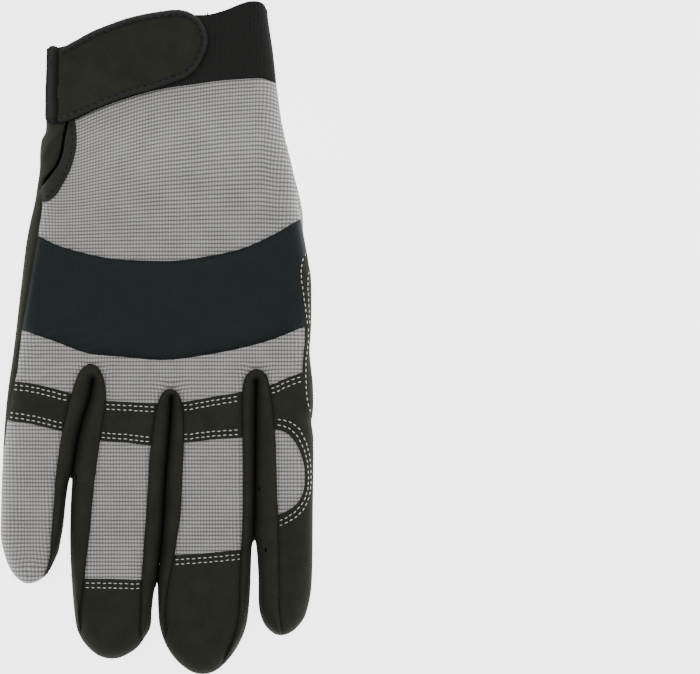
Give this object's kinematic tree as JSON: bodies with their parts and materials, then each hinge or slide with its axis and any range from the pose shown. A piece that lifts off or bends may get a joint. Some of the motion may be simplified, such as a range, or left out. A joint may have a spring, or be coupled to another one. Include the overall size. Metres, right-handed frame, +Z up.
{
  "type": "mechanic glove",
  "caption": "Right-hand mechanic's glove lying palm down: knit back, suede palm and fingertips, padded knuckle band, elastic cuff with a strap, thumb folded under the palm.",
  "frame": {"origin": "centre of the glove's bounding box on the surface it lies on", "axes": "+Y from the fingertips to the cuff's mouth, +Z up out of the back of the hand, -X the little-finger side"},
  "size_m": [0.1122, 0.2404, 0.0297],
  "materials": {
    "grey_knit": "matte",
    "black_suede": "matte",
    "neoprene": "matte",
    "black_elastic": "matte",
    "binding_tape": "matte"
  },
  "bodies": {
    "root": {"back_panel": "grey_knit", "knuckle_band": "neoprene", "knuckle_panel": "grey_knit", "knuckle_strip_pinky": "black_suede", "knuckle_strip_ring": "black_suede", "knuckle_strip_middle": "black_suede", "finger_back_pinky": "grey_knit", "finger_back_ring": "grey_knit", "finger_back_middle": "grey_knit", "fingertip_cap_ring": "black_suede", "fingertip_cap_middle": "black_suede", "index_back": "black_suede", "index_window": "grey_knit", "sidewall_pinky_ring": "black_suede", "sidewall_ring_middle": "black_suede", "sidewall_middle_index": "black_suede", "radial_patch": "black_suede", "palm_panel": "black_suede", "palm_pad": "black_suede", "palm_tongue": "black_suede", "thumb_back": "grey_knit", "thumb_front": "black_suede", "thumb_patch": "black_suede", "slit_binding": "binding_tape", "cuff_band": "black_elastic", "cuff_fold": "black_elastic", "strap": "black_suede", "strap_binding": "binding_tape", "strap_hook_patch": "black_elastic"}
  },
  "joints": []
}
